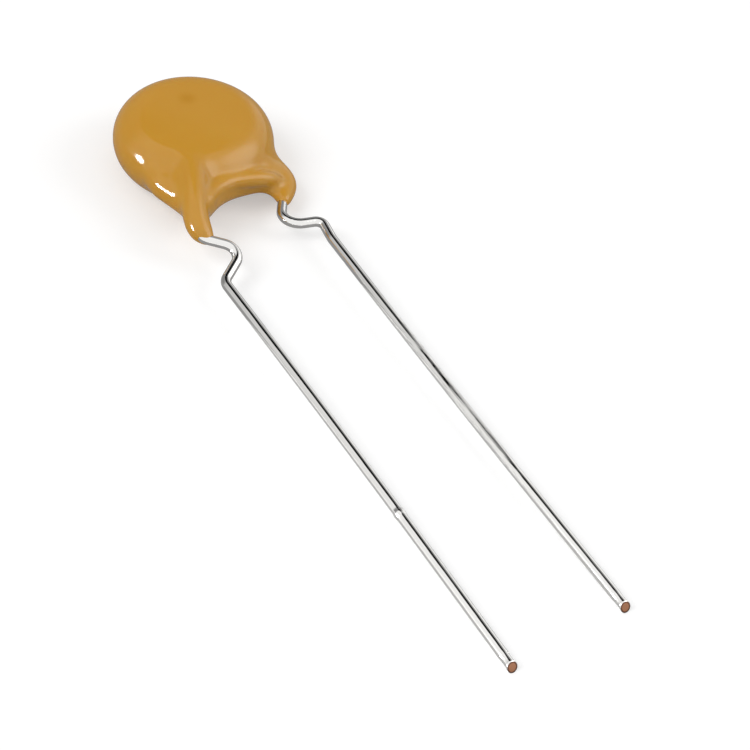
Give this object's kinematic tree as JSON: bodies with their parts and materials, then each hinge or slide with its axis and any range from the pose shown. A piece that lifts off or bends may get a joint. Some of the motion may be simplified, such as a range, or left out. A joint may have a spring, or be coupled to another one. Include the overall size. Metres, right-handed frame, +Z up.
{
  "type": "ceramic disc capacitor",
  "caption": "Radial leaded ceramic disc capacitor: a round dipped body with a leg of coating down each lead, kinked wire leads side by side.",
  "frame": {"origin": "centre of the bounding box, at the height of the surface the part lies on", "axes": "+Z up from that surface, +Y from the lead ends towards the body, +X across the pair of leads towards the lead on the back face"},
  "size_m": [0.0096, 0.0468, 0.004],
  "materials": {
    "dielectric": "matte fired ceramic",
    "silver": "fired silver",
    "solder": "satin solder",
    "tinned_wire": "bright tin over copper",
    "epoxy": "glossy dipped coating"
  },
  "bodies": {
    "root": {"ceramic_disc": "dielectric", "electrode_front": "silver", "electrode_back": "silver", "solder_front": "solder", "solder_back": "solder", "lead_left": "tinned_wire", "lead_right": "tinned_wire", "epoxy_coating": "epoxy"}
  },
  "joints": []
}
